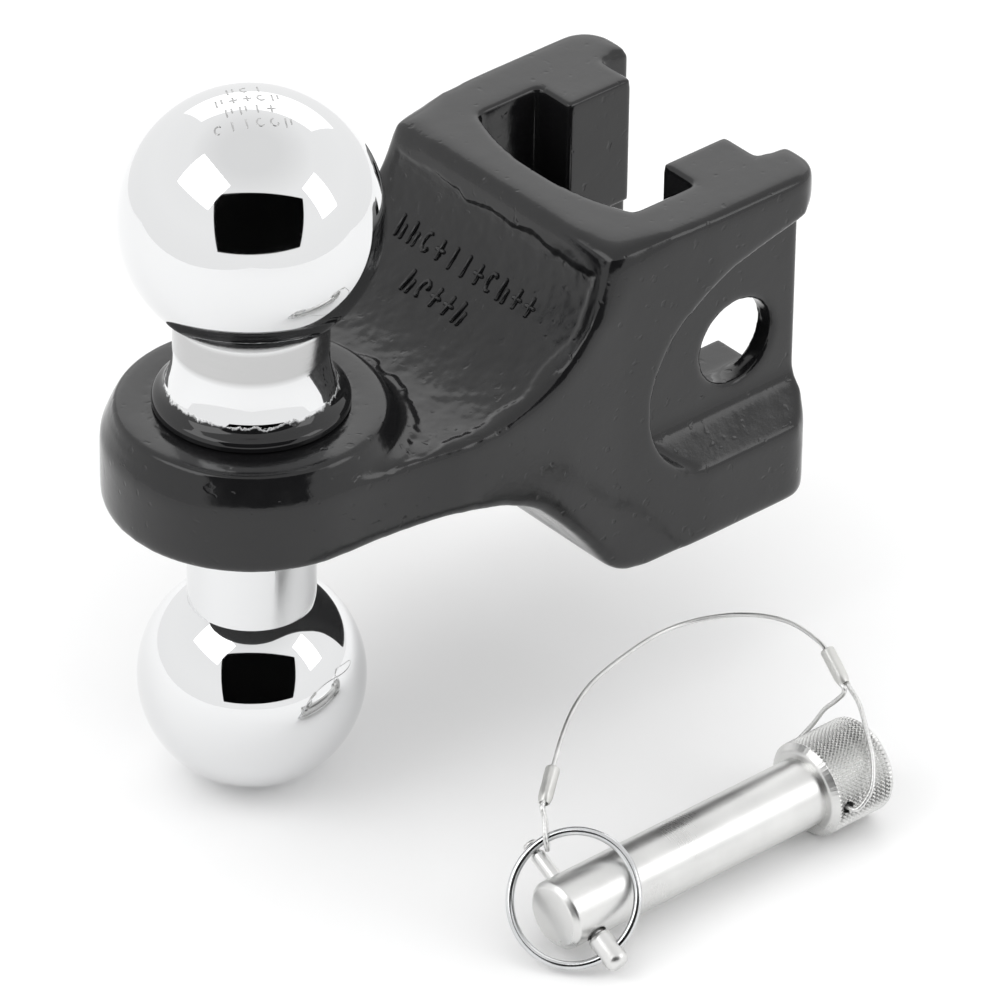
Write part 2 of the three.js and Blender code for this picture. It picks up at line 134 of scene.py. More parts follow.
def close_rings(rings, closed_loop=False):
    """Faces between equal rings of points. A tube gets an end face on each end."""
    count = len(rings[0])
    faces = []
    last = len(rings) if closed_loop else len(rings) - 1
    for i in range(last):
        a, b = i * count, (i + 1) % len(rings) * count
        for k in range(count):
            n = (k + 1) % count
            faces.append((a + k, a + n, b + n, b + k))
    if not closed_loop:
        end = (len(rings) - 1) * count
        faces.append(tuple(reversed(range(count))))
        faces.append(tuple(range(end, end + count)))
    return faces


def turned_mesh(name, profile, segments, place, along=Vector((0, 0, 1)), radius_at=None):
    """A turned piece: profile is (radius, height) pairs from the foot up, all off the axis.

    radius_at(angle, radius, height) can change the radius from place to place."""
    turn = Vector((0, 0, 1)).rotation_difference(along).to_matrix()
    rings = []
    for radius, height in profile:
        ring = []
        for k in range(segments):
            angle = 2 * math.pi * k / segments
            r = radius_at(angle, radius, height) if radius_at else radius
            ring.append(place + turn @ Vector((r * math.cos(angle), r * math.sin(angle), height)))
        rings.append(ring)
    return mesh_from(name, [v for ring in rings for v in ring], close_rings(rings))


def rounded_profile(corners, step=0.25 * MM):
    """Corners of a profile, (radius, height, rounding), as points with each corner rounded."""
    points = []
    for i, (r, h, rounding) in enumerate(corners):
        here = Vector((r, h))
        if rounding == 0 or i in (0, len(corners) - 1):
            points.append(here)
            continue
        before = Vector(corners[i - 1][:2]) - here
        after = Vector(corners[i + 1][:2]) - here
        reach = min(rounding, before.length * 0.49, after.length * 0.49)
        start = here + before.normalized() * reach
        end = here + after.normalized() * reach
        count = max(4, round(reach * 1.6 / step))
        for k in range(count + 1):
            t = k / count
            points.append(start * (1 - t) ** 2 + here * 2 * t * (1 - t) + end * t**2)
    return [(p.x, p.y) for p in points]


def join_mesh(piece, tool, operation):
    """Joins a piece with a tool object by "UNION", "INTERSECT" or "DIFFERENCE", for good."""
    modifier = piece.modifiers.new("join", "BOOLEAN")
    modifier.operation = operation
    modifier.solver = "EXACT"
    modifier.object = tool
    apply_modifiers(piece)
    bpy.data.objects.remove(tool)


def cut(piece, cutters):
    """Cuts closed meshes out of a piece, for good."""
    for mesh in cutters:
        join_mesh(piece, new_object("cutter", mesh), "DIFFERENCE")


def apply_modifiers(piece):
    graph = bpy.context.evaluated_depsgraph_get()
    mesh = bpy.data.meshes.new_from_object(piece.evaluated_get(graph), depsgraph=graph)
    piece.modifiers.clear()
    piece.data = mesh


def face_outwards(mesh):
    """Turns every face of a closed mesh to look out of it."""
    work = bmesh.new()
    work.from_mesh(mesh)
    bmesh.ops.recalc_face_normals(work, faces=work.faces)
    work.to_mesh(mesh)
    work.free()


def rod_mesh(start, end, radius, segments=48):
    along = end - start
    profile = [(radius, 0), (radius, along.length)]
    return turned_mesh("rod", profile, segments, start, along.normalized())


def smooth_by_angle(piece, degrees):
    """Smooth shading, with a hard line where two faces meet at more than this angle."""
    mesh = piece.data
    mesh.polygons.foreach_set("use_smooth", [True] * len(mesh.polygons))
    work = bmesh.new()
    work.from_mesh(mesh)
    limit = math.radians(degrees)
    for edge in work.edges:
        edge.smooth = len(edge.link_faces) == 2 and edge.calc_face_angle() < limit
    work.to_mesh(mesh)
    work.free()


# ------------------------------------------------------------------ cord: the lanyard

CABLE_DIAMETER = 1.1 * MM
CABLE_LAY = 5.4 * MM
CABLE_STRANDS = 6
FERRULE_LENGTH = 9 * MM
FERRULE_RADIUS = 1.65 * MM
STRAND_SPREAD = 0.8 * MM
SMOOTHING_ROUNDS = 900
BENDING_ROUNDS = 20000
RING_FERRULE = (Vector((-0.0944, -0.0778, -0.052)), Vector((0.736, 0.519, 0.433)).normalized())
HEAD_FERRULE = (Vector((-0.0203, -0.0885, -0.048)), Vector((-0.17, -0.85, -0.49)).normalized())


def on_ferrule(ferrule, distance):
    middle, along = ferrule
    return middle + along * distance


def smooth_path(points, step):
    """A centripetal Catmull-Rom curve through the points, cut into equal steps."""
    pts = [2 * points[0] - points[1], *points, 2 * points[-1] - points[-2]]
    dense = []
    for p0, p1, p2, p3 in zip(pts, pts[1:], pts[2:], pts[3:]):
        t1 = (p1 - p0).length ** 0.5
        t2 = t1 + (p2 - p1).length ** 0.5
        t3 = t2 + (p3 - p2).length ** 0.5
        for k in range(24):
            t = t1 + (t2 - t1) * k / 24
            a1 = p0 * ((t1 - t) / t1) + p1 * (t / t1)
            a2 = p1 * ((t2 - t) / (t2 - t1)) + p2 * ((t - t1) / (t2 - t1))
            a3 = p2 * ((t3 - t) / (t3 - t2)) + p3 * ((t - t2) / (t3 - t2))
            b1 = a1 * ((t2 - t) / t2) + a2 * (t / t2)
            b2 = a2 * ((t3 - t) / (t3 - t1)) + a3 * ((t - t1) / (t3 - t1))
            dense.append(b1 * ((t2 - t) / (t2 - t1)) + b2 * ((t - t1) / (t2 - t1)))
    dense.append(points[-1].copy())
    line = np.array([tuple(p) for p in dense])
    length = np.concatenate([[0], np.cumsum(np.linalg.norm(np.diff(line, axis=0), axis=1))])
    count = max(2, round(length[-1] / step))
    at = np.linspace(0, length[-1], count + 1)
    return [Vector([np.interp(s, length, line[:, k]) for k in range(3)]) for s in at]


def relaxed(path, inside):
    """The path as a stiff wire takes it: no small bends, and no kink where it leaves a ferrule.

    inside is how many points at each end lie in the ferrules."""
    line = np.array([tuple(p) for p in path])
    for _ in range(SMOOTHING_ROUNDS):
        middle = (line[:-2] + line[2:]) / 2
        line[inside:-inside] += 0.5 * (middle[inside - 1 : 1 - inside] - line[inside:-inside])
    held = inside // 2 - 1
    for _ in range(BENDING_ROUNDS):
        bends = line[:-2] - 2 * line[1:-1] + line[2:]
        change = bends[:-2] - 2 * bends[1:-1] + bends[2:]
        line[held:-held] -= 0.1 * change[held - 2 : 2 - held]
    return [Vector(p) for p in line]


def frames_along(path):
    """A pair of directions across the path at each of its points, turning as little as it can."""
    last = len(path) - 1
    tangents = [(path[min(i + 1, last)] - path[max(i - 1, 0)]).normalized() for i in range(last + 1)]
    side = tangents[0].orthogonal().normalized()
    frames = []
    for tangent in tangents:
        side = (side - tangent * side.dot(tangent)).normalized()
        frames.append((side, tangent.cross(side)))
    return frames


def rope_mesh(name, path):
    """Twisted wire rope: a tube whose section has one lobe for each strand and turns along it."""
    around = CABLE_STRANDS * 6
    rings, run = [], 0.0
    for i, (point, (side, up)) in enumerate(zip(path, frames_along(path))):
        if i:
            run += (point - path[i - 1]).length
        twist = 2 * math.pi * run / CABLE_LAY
        ring = []
        for k in range(around):
            angle = 2 * math.pi * k / around
            lobe = abs(math.cos(CABLE_STRANDS * (angle - twist) / 2))
            radius = CABLE_DIAMETER / 2 * (0.68 + 0.32 * lobe)
            ring.append(point + (side * math.cos(angle) + up * math.sin(angle)) * radius)
        rings.append(ring)
    return mesh_from(name, [v for ring in rings for v in ring], close_rings(rings))


FERRULE_END = FERRULE_LENGTH / 2 + 0.3 * MM
LANYARD_ROUTE = [
    on_ferrule(RING_FERRULE, FERRULE_END),
    on_ferrule(RING_FERRULE, FERRULE_END + 1.5 * MM),
    Vector((-0.083, -0.0692, -0.0474)),
    Vector((-0.0765, -0.0645, -0.048)),
    Vector((-0.0695, -0.0595, -0.0499)),
    Vector((-0.062, -0.054, -0.053)),
    Vector((-0.0535, -0.049, -0.056)),
    Vector((-0.044, -0.0445, -0.0588)),
    Vector((-0.0355, -0.041, -0.061)),
    Vector((-0.027, -0.0384, -0.0624)),
    Vector((-0.0186, -0.039, -0.0629)),
    Vector((-0.0118, -0.0438, -0.0614)),
    Vector((-0.0086, -0.052, -0.0586)),
    Vector((-0.0092, -0.0614, -0.0552)),
    Vector((-0.0124, -0.0699, -0.0516)),
    Vector((-0.0164, -0.0778, -0.0482)),
    on_ferrule(HEAD_FERRULE, -FERRULE_END - 1.5 * MM),
    on_ferrule(HEAD_FERRULE, -FERRULE_END),
]


def make_lanyard_cable():
    """The cable between the ferrules. Its ends run on inside them, so it can shift a little."""
    inside = 4.5 * MM
    step = 0.3 * MM
    route = [on_ferrule(RING_FERRULE, FERRULE_END - inside), *LANYARD_ROUTE]
    route.append(on_ferrule(HEAD_FERRULE, -FERRULE_END + inside))
    path = relaxed(smooth_path(route, step), round(inside / step))
    cable = new_object("lanyard_wire_rope", rope_mesh("rope", path))
    length = sum((b - a).length for a, b in zip(path, path[1:]))
    return cable, path, length


lanyard_cable, lanyard_path, lanyard_length = make_lanyard_cable()


# ------------------------------------------------------------------ material helpers


class Nodes:
    """A material's node tree, with short calls for the nodes that the materials here share."""

    def __init__(self, name):
        self.material = bpy.data.materials.new(name)
        self.material.use_nodes = True
        self.tree = self.material.node_tree
        self.shader = self.tree.nodes["Principled BSDF"]
        self.place = self.tree.nodes.new("ShaderNodeTexCoord").outputs["Object"]

    def link(self, output, socket):
        self.tree.links.new(output, socket)

    def set(self, **values):
        for name, value in values.items():
            self.shader.inputs[name.replace("_", " ")].default_value = value

    def stretched(self, scale):
        """Object coordinates, stretched so that a texture runs along the small axes."""
        node = self.tree.nodes.new("ShaderNodeMapping")
        node.inputs["Scale"].default_value = scale
        self.link(self.place, node.inputs["Vector"])
        return node.outputs["Vector"]

    def noise(self, scale, detail=3, rough=0.5, vector=None):
        node = self.tree.nodes.new("ShaderNodeTexNoise")
        node.inputs["Scale"].default_value = scale
        node.inputs["Detail"].default_value = detail
        node.inputs["Roughness"].default_value = rough
        self.link(vector or self.place, node.inputs["Vector"])
        return node.outputs["Fac"]

    def ramp(self, value, low, high, from_low=0.3, from_high=0.7):
        """A value stretched from one span onto another, and held inside it."""
        node = self.tree.nodes.new("ShaderNodeMapRange")
        node.inputs["From Min"].default_value = from_low
        node.inputs["From Max"].default_value = from_high
        node.inputs["To Min"].default_value = low
        node.inputs["To Max"].default_value = high
        self.link(value, node.inputs["Value"])
        return node.outputs["Result"]

    def math(self, operation, a, b):
        node = self.tree.nodes.new("ShaderNodeMath")
        node.operation = operation
        for socket, value in zip(node.inputs, (a, b)):
            if isinstance(value, (int, float)):
                socket.default_value = value
            else:
                self.link(value, socket)
        return node.outputs[0]

    def mix(self, share, a, b):
        """Colour a where share is 0 and colour b where it is 1."""
        node = self.tree.nodes.new("ShaderNodeMix")
        node.data_type = "RGBA"
        self.link(share, node.inputs["Factor"])
        for socket, value in ((node.inputs["A"], a), (node.inputs["B"], b)):
            if isinstance(value, tuple):
                socket.default_value = (*value, 1)
            else:
                self.link(value, socket)
        return node.outputs["Result"]

    def axis(self, name):
        node = self.tree.nodes.new("ShaderNodeSeparateXYZ")
        self.link(self.place, node.inputs[0])
        return node.outputs[name]

    def bump(self, height, distance, strength=1.0, under=None):
        node = self.tree.nodes.new("ShaderNodeBump")
        node.inputs["Distance"].default_value = distance
        node.inputs["Strength"].default_value = strength
        self.link(height, node.inputs["Height"])
        if under:
            self.link(under, node.inputs["Normal"])
        return node.outputs["Normal"]

    def to(self, **outputs):
        for name, output in outputs.items():
            self.link(output, self.shader.inputs[name.replace("_", " ")])
        return self.material


# ------------------------------------------------------------------ materials


def make_black_paint():
    """Glossy black powder coat: orange peel, slow waves, and a few pits and dust specks."""
    m = Nodes("black_paint")
    m.set(Specular_IOR_Level=0.45)
    waves = m.bump(m.noise(110, 2), 0.25 * MM, 0.4)
    peel = m.bump(m.noise(900, 2), 0.03 * MM, 0.55, under=waves)
    pits = m.ramp(m.noise(420, 1), 0, 1, 0.24, 0.33)
    normal = m.bump(pits, 0.12 * MM, 0.5, under=peel)
    colour = m.mix(m.noise(60, 4), (0.005, 0.005, 0.0055), (0.011, 0.011, 0.0115))
    roughness = m.ramp(m.noise(240, 5), 0.1, 0.2)
    return m.to(Base_Color=colour, Roughness=roughness, Normal=normal)


def make_ball_chrome(name, paint_line, worn_from, worn_to):
    """Mirror chrome. Between two heights the neck is duller and ringed by the lathe, and below
    paint_line the casting's black paint runs over it with a ragged edge."""
    m = Nodes(name)
    height = m.axis("Z")
    middle = (worn_from + worn_to) / 2
    off_middle = m.math("ABSOLUTE", m.math("SUBTRACT", height, middle), 0)
    half = abs(worn_to - worn_from) / 2
    worn = m.ramp(off_middle, 1, 0, half - 0.8 * MM, half + 0.8 * MM)
    rings = m.noise(1, 4, 0.7, vector=m.stretched((60, 60, 2600)))
    smudges = m.noise(95, 5)
    ragged = m.math("ADD", height, m.math("MULTIPLY", m.noise(420, 5, 0.65), 3.2 * MM))
    painted = m.ramp(ragged, 1, 0, paint_line + 1.4 * MM, paint_line + 1.9 * MM)
    clean = m.ramp(smudges, 0.02, 0.05)
    dull = m.ramp(rings, 0.06, 0.2)
    roughness = m.math("ADD", clean, m.math("MULTIPLY", worn, dull))
    bare = m.mix(worn, (0.75, 0.755, 0.76), (0.5, 0.5, 0.5))
    colour = m.mix(painted, bare, (0.008, 0.008, 0.0085))
    metal = m.math("SUBTRACT", 1, painted)
    fine = m.bump(m.math("MULTIPLY", rings, worn), 0.05 * MM, 0.6)
    normal = m.bump(painted, 0.25 * MM, 0.8, under=fine)
    return m.to(Base_Color=colour, Metallic=metal, Roughness=roughness, Normal=normal)


def make_turned_zinc(name, along, colour=(0.77, 0.77, 0.76)):
    """Zinc plate over turned steel: fine rings round the axis, with slow cloudy patches."""
    m = Nodes(name)
    m.set(Metallic=1.0)
    lines = m.noise(1, 5, 0.75, vector=m.stretched([3500 if a else 70 for a in along]))
    clouds = m.noise(70, 4)
    tint = m.mix(m.ramp(clouds, 0, 1), tuple(c * 0.86 for c in colour), colour)
    roughness = m.math("ADD", m.ramp(clouds, 0.2, 0.3), m.math("MULTIPLY", lines, 0.12))
    grain = m.bump(m.noise(2600, 3), 0.02 * MM, 0.35)
    normal = m.bump(lines, 0.03 * MM, 0.6, under=grain)
    return m.to(Base_Color=tint, Roughness=roughness, Normal=normal)


def make_bright_metal(name, colour, roughness, grain_scale, grain_depth):
    """Plain bright metal with a fine grain, a little dirt and uneven polish."""
    m = Nodes(name)
    m.set(Metallic=1.0)
    patches = m.noise(grain_scale / 12, 4)
    tint = m.mix(m.ramp(patches, 0, 1), tuple(c * 0.8 for c in colour), colour)
    normal = m.bump(m.noise(grain_scale, 4), grain_depth, 0.6)
    uneven = m.ramp(patches, roughness * 0.75, roughness * 1.3)
    return m.to(Base_Color=tint, Roughness=uneven, Normal=normal)


def make_floor_white():
    m = Nodes("floor_white")
    m.set(Roughness=0.9, Specular_IOR_Level=0.1)
    return m.to(Base_Color=m.mix(m.noise(3, 2), (0.93, 0.93, 0.93), (0.95, 0.95, 0.95)))


NO_PAINT = -60

black_paint = make_black_paint()
upper_chrome = make_ball_chrome("upper_ball_chrome", 21.2 * MM, 31 * MM, 39.2 * MM)
lower_chrome = make_ball_chrome("lower_ball_chrome", NO_PAINT, -13.5 * MM, -8 * MM)
# The stamp strokes get a rougher, darker chrome. The darker colour (0.5) is painted shade for the stamped
# impressions.
stamp_chrome_painted_shade = make_bright_metal("stamp_chrome_painted_shade", (0.5, 0.5, 0.5), 0.28, 900, 0.01 * MM)
pin_zinc = make_turned_zinc("pin_zinc", (1, 0, 0))
snap_zinc = make_turned_zinc("snap_zinc", (0, 1, 0), (0.78, 0.78, 0.77))
wire_steel = make_bright_metal("wire_steel", (0.74, 0.75, 0.76), 0.16, 1800, 0.01 * MM)
cable_steel = make_bright_metal("cable_steel", (0.9, 0.9, 0.89), 0.36, 2400, 0.02 * MM)
ferrule_metal = make_bright_metal("ferrule_metal", (0.72, 0.72, 0.7), 0.42, 1500, 0.05 * MM)


def finish_piece(piece, material, body=None, nodes=()):
    """Gives a piece its material, the CAD nodes it stands for and the body it rides on."""
    piece.data.materials.clear()
    piece.data.materials.append(material)
    if nodes:
        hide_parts(*nodes)
    if body:
        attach(piece, body)
    return piece


# ------------------------------------------------------------------ casting

HALF_HEIGHT = CASTING_HIGH.z
HALF_WIDTH = CASTING_HIGH.y
REAR_X = CASTING_HIGH.x
HEAD_RADIUS = 33 * MM
ARM_TOP_Z = 10.7 * MM
ARM_BOTTOM_Z = -7.6 * MM
BOSS_TOP_Z = 16.5 * MM
RAMP_START_X = -82.5 * MM
RIM_X = -43.6 * MM
CHANNEL_HALF = 26.1 * MM
LIP_HALF = 15.6 * MM
LIP_FRONT_X = -9.2 * MM
LIP_REAR_X = 9.3 * MM
LIP_END_Z = 10.8 * MM
WEB_X = -26.8 * MM
WEB_HOLLOW = 5.5 * MM
PIN_HOLE_RADIUS = 10.3 * MM
PIN_SEAT_Y = 31.5 * MM
BORE_RADIUS = 13 * MM
SIDE_Y = 38.6
PAST = 8 * MM
VOXEL = 0.6 * MM
RAMP_FROM, RAMP_TO = -104, -44
BOSS_CLEAR = 34
SKIN_DEPTH = 0.42
SKIN_BORDER = 4.2


def arc(cx, cy, rx, ry, start, end, count):
    """Points of an ellipse's arc, with its angles in degrees."""
    angles = [math.radians(start + (end - start) * k / count) for k in range(count + 1)]
    return [(cx + rx * math.cos(a), cy + ry * math.sin(a)) for a in angles]


def bend(a, b, c, count=24):
    """Points of a curve from a to c that is pulled towards b, in millimetres, without a."""
    out = []
    for k in range(1, count + 1):
        t = k / count
        out.append(
            tuple(MM * (p * (1 - t) ** 2 + q * 2 * t * (1 - t) + r * t * t) for p, q, r in zip(a, b, c))
        )
    return out


def prism(outline, low, high, plane):
    """A closed prism over an outline drawn in the plane "xz" or "xy"."""
    rings = []
    for level in (low, high):
        if plane == "xz":
            rings.append([Vector((x, level, z)) for x, z in outline])
        else:
            rings.append([Vector((x, y, level)) for x, y in outline])
    mesh = mesh_from("prism", [v for ring in rings for v in ring], close_rings(rings), smooth=False)
    face_outwards(mesh)
    return mesh


def side_outline():
    ramp = arc(RAMP_START_X, HALF_HEIGHT, RIM_X - RAMP_START_X, HALF_HEIGHT - ARM_TOP_Z, 0, -90, 72)
    front = BALL_X - HEAD_RADIUS - PAST
    outline = [(REAR_X, -HALF_HEIGHT), (REAR_X, HALF_HEIGHT), *ramp]
    outline += [(front, ARM_TOP_Z), (front, ARM_BOTTOM_Z), (-86 * MM, ARM_BOTTOM_Z)]
    outline += bend((-86, -7.6), (-70, -9.4), (-61.8, -16))
    outline += bend((-61.8, -16), (-51, -26.2), (-43.4, -37.4))
    outline += bend((-43.4, -37.4), (-39.4, -42.7), (-33, -42.7))
    return outline


def plan_outline():
    corner = 8 * MM
    near = arc(BALL_X, 0, HEAD_RADIUS, HEAD_RADIUS, 180, 270, 64)
    near += bend((-113.4, -33), (-98, -33.4), (-84, -36.8))
    near += bend((-84, -36.8), (-66, -SIDE_Y), (-40, -SIDE_Y))
    near.append((-14 * MM, -HALF_WIDTH))
    near += arc(REAR_X - corner, corner - HALF_WIDTH, corner, corner, -90, 0, 16)
    return near + [(x, -y) for x, y in reversed(near[1:])]


def channel_outline():
    radius = (CHANNEL_HALF**2 + WEB_HOLLOW**2) / (2 * WEB_HOLLOW)
    half = math.degrees(math.asin(CHANNEL_HALF / radius))
    floor = arc(WEB_X - WEB_HOLLOW + radius, 0, radius, radius, 180, 180 + half, 24)
    near = [
        *floor,
        (LIP_FRONT_X, -CHANNEL_HALF),
        (LIP_FRONT_X, -LIP_HALF),
        (LIP_REAR_X, -LIP_HALF),
        (LIP_REAR_X, -CHANNEL_HALF),
        (REAR_X + PAST, -CHANNEL_HALF),
    ]
    return near + [(x, -y) for x, y in reversed(near[1:])]


def recess_outline():
    rear = (REAR_X + PAST) / MM
    outline = [(rear * MM, 35.4 * MM)]
    outline += bend((rear, 35.4), (4, 30.4), (-8, 27.2))
    outline += bend((-8, 27.2), (-28, 19.5), (-31.6, 1))
    outline += bend((-31.6, 1), (-32.6, -16), (-17.5, -23))
    outline += bend((-17.5, -23), (-13, -24.6), (-4, -23.6))
    outline.append((rear * MM, -21.6 * MM))
    return outline


def recess_mesh(side):
    """The recess round a pin hole: its outline, up to a floor whose lower part bends outwards."""
    depth = [(PIN_SEAT_Y, HALF_HEIGHT), (HALF_WIDTH + PAST, HALF_HEIGHT)]
    depth.append((HALF_WIDTH + PAST, -15 * MM - (HALF_WIDTH + PAST - PIN_SEAT_Y)))
    depth += arc(PIN_SEAT_Y + 6 * MM, -12.5 * MM, 6 * MM, 6 * MM, 225, 180, 10)
    rings = [[Vector((x, y * side, z)) for y, z in depth] for x in (-60 * MM, 60 * MM)]
    corners = [corner for ring in rings for corner in ring]
    wedge = new_object("wedge", mesh_from("wedge", corners, close_rings(rings), smooth=False))
    levels = sorted((PIN_SEAT_Y * side * 0.5, (HALF_WIDTH + PAST) * side))
    outline = new_object("recess", prism(recess_outline(), *levels, "xz"))
    face_outwards(wedge.data)
    join_mesh(outline, wedge, "INTERSECT")
    mesh = outline.data
    bpy.data.objects.remove(outline)
    return mesh


def in_box(points, low, high):
    inside = np.all(points > np.array(low) * MM, axis=1)
    return inside & np.all(points < np.array(high) * MM, axis=1)


def soften(mesh, rounds, weight_of):
    """Rounds a dense mesh's edges: each point moves towards the middle of its neighbours."""
    count = len(mesh.vertices)
    points = np.empty(count * 3)
    mesh.vertices.foreach_get("co", points)
    points = points.reshape(-1, 3)
    edges = np.empty(len(mesh.edges) * 2, np.int64)
    mesh.edges.foreach_get("vertices", edges)
    first, second = edges.reshape(-1, 2).T
    ends = np.concatenate([first, second])
    others = np.concatenate([second, first])
    weight = weight_of(points)
    moving = np.flatnonzero(weight)
    touched = weight[ends] > 0
    ends = np.searchsorted(moving, ends[touched])
    others = others[touched]
    degree = np.bincount(ends, minlength=len(moving))[:, None]
    step = 0.5 * weight[moving, None]
    for _ in range(rounds):
        total = [np.bincount(ends, points[others, k], len(moving)) for k in range(3)]
        points[moving] += step * (np.stack(total, axis=1) / degree - points[moving])
    mesh.vertices.foreach_set("co", points.ravel())
    mesh.update()


def casting_softness(points):
    """The outside of the casting is well rounded, and its channel and recesses are crisper."""
    weight = np.ones(len(points))
    across = np.abs(points[:, 1]) / MM
    recess = in_box(points, (-35, -60, -27), (30, 60, 37)) & (across > 29)
    rear_edge = across + points[:, 0] / MM > 52
    weight[recess & ~rear_edge] = 0.3
    weight[in_box(points, (-33.5, -27, -41), (30, 27, 41))] = 0.16
    weight[in_box(points, (-33.5, -27, 41), (12, 27, 60))] = 0.3
    boss = np.hypot(points[:, 0] - BALL_X, points[:, 1]) < 31.5 * MM
    weight[boss & (points[:, 2] > 12 * MM)] = 0.35
    return weight


def rim_softness(points):
    """The rim above the ramp is rounder than the other edges, most of all at its two corners."""
    rim = np.hypot(points[:, 0] - RIM_X, points[:, 2] - HALF_HEIGHT) / MM
    corner = np.abs(np.abs(points[:, 1]) / MM - SIDE_Y)
    along_rim = 0.25 * np.clip(1 - rim / 9, 0, 1)
    at_corner = np.clip(1.2 - np.hypot(rim, corner) / 14, 0, 1)
    return np.maximum(along_rim, at_corner)


def hammer_ramp(mesh):
    """The sand-cast face of the ramp lies a little below a smooth border with a wavy edge."""
    moved = []
    for vertex in mesh.vertices:
        x, y, z = vertex.co / MM
        from_boss = math.hypot(x - BALL_X / MM, y) - BOSS_CLEAR
        facing_up = vertex.normal.z > 0.12 and z > 9.5
        if not (RAMP_FROM < x < RAMP_TO and facing_up and from_boss > 0):
            continue
        wave = noise_at(vertex.co, 190) * 1.6 + noise_at(vertex.co, 620) * 0.5
        border = min(SIDE_Y - 1 - abs(y), HALF_HEIGHT / MM - z - 1.5, from_boss + 3)
        inside = min(1.0, max(0.0, (border - SKIN_BORDER - wave) / 0.9))
        lumps = noise_at(vertex.co, 260) * 0.12 + noise_at(vertex.co, 700) * 0.07
        depth = inside * inside * (lumps - SKIN_DEPTH) * MM
        moved.append((vertex.index, vertex.co + vertex.normal * depth))
    for index, place in moved:
        mesh.vertices[index].co = place


def noise_at(place, scale):
    return mathutils_noise.noise(place * scale)


def make_casting():
    reach = HALF_WIDTH + PAST
    casting = new_object("hitch_casting", prism(side_outline(), -reach, reach, "xz"))
    plan = new_object("plan", prism(plan_outline(), -HALF_HEIGHT - PAST, HALF_HEIGHT + PAST, "xy"))
    join_mesh(casting, plan, "INTERSECT")
    top = BOSS_TOP_Z / MM
    boss = [(31.6, 8), (31.6, 13.2), (30.6, 13.9), (30.2, 15.9), (29.6, top)]
    boss += [(23.6, top), (22.8, 16.1), (22.2, top), (0.1, top)]
    place = Vector((BALL_X, 0, 0))
    profile = [(r * MM, h * MM) for r, h in boss]
    join_mesh(casting, new_object("boss", turned_mesh("boss", profile, 192, place)), "UNION")
    low, high = -HALF_HEIGHT - PAST, HALF_HEIGHT + PAST
    lip_gap = [(LIP_FRONT_X - MM, -LIP_END_Z), (LIP_REAR_X + MM, -LIP_END_Z)]
    lip_gap += [(LIP_REAR_X + MM, LIP_END_Z), (LIP_FRONT_X - MM, LIP_END_Z)]
    across = Vector((0, reach, 0))
    cut(casting, [
        prism(channel_outline(), low, high, "xy"),
        prism(lip_gap, -CHANNEL_HALF, CHANNEL_HALF, "xz"),
        rod_mesh(-across, across, PIN_HOLE_RADIUS, 96),
        rod_mesh(place + Vector((0, 0, low)), place + Vector((0, 0, high)), BORE_RADIUS, 96),
        recess_mesh(-1),
        recess_mesh(1),
    ])
    remesh = casting.modifiers.new("remesh", "REMESH")
    remesh.mode = "VOXEL"
    remesh.voxel_size = VOXEL
    apply_modifiers(casting)
    soften(casting.data, 44, casting_softness)
    soften(casting.data, 170, rim_softness)
    hammer_ramp(casting.data)
    smooth_by_angle(casting, 60)
    return finish_piece(casting, black_paint, "mount", ["ball_mount"])


# ------------------------------------------------------------------ raised and stamped marks


def stroke(points, radius, sides=8):
    """A short rounded bar along a few points, as rings for a mesh."""
    tangent = (points[-1] - points[0]).normalized()
    path = [points[0] - tangent * radius * 0.7, *points, points[-1] + tangent * radius * 0.7]
    rings = []
    for i, (point, (side, up)) in enumerate(zip(path, frames_along(path))):
        size = radius * (0.45 if i in (0, len(path) - 1) else 1)
        angles = [2 * math.pi * k / sides for k in range(sides)]
        rings.append([point + (side * math.cos(a) + up * math.sin(a)) * size for a in angles])
    return rings


def strokes_object(name, list_of_rings):
    vertices, faces = [], []
    for rings in list_of_rings:
        start = len(vertices)
        vertices += [v for ring in rings for v in ring]
        faces += [tuple(start + i for i in face) for face in close_rings(rings)]
    return new_object(name, mesh_from(name, vertices, faces))


def mark_shapes(count, seed):
    """Plain bars, arcs and crosses that say nothing, each in a box 0.6 wide and 1 high."""
    dice = random.Random(seed)
    shapes = []
    for _ in range(count):
        kind = dice.choice(["bar", "bars", "arc", "cross"])
        if kind == "bar":
            shapes.append([[(0.3, 0.05), (0.3, 0.5), (0.3, 0.95)]])
        elif kind == "bars":
            shapes.append([[(0.1, 0.05), (0.1, 0.95)], [(0.5, 0.05), (0.5, 0.6)]])
        elif kind == "arc":
            turn = dice.uniform(0, 90)
            steps = [math.radians(turn + 30 * k) for k in range(9)]
            shapes.append([[(0.3 + 0.27 * math.cos(a), 0.5 + 0.4 * math.sin(a)) for a in steps]])
        else:
            shapes.append([[(0.3, 0.1), (0.3, 0.9)], [(0.02, 0.5), (0.58, 0.5)]])
    return shapes


def ramp_place(along, across, lift):
    """A point on the ramp: degrees down its curve from the rim, and metres across."""
    angle = math.radians(along)
    reach_x, reach_z = RIM_X - RAMP_START_X, HALF_HEIGHT - ARM_TOP_Z
    inward = Vector((-math.cos(angle) / reach_x, 0, math.sin(angle) / reach_z)).normalized()
    x = RAMP_START_X + reach_x * math.cos(angle)
    z = HALF_HEIGHT - reach_z * math.sin(angle)
    return Vector((x, across, z)) + inward * lift


MARK_PITCH = 4.3
MARK_STROKE = 0.55 * MM
MARK_LIFT = -0.35 * MM
MARK_DEGREES = 9


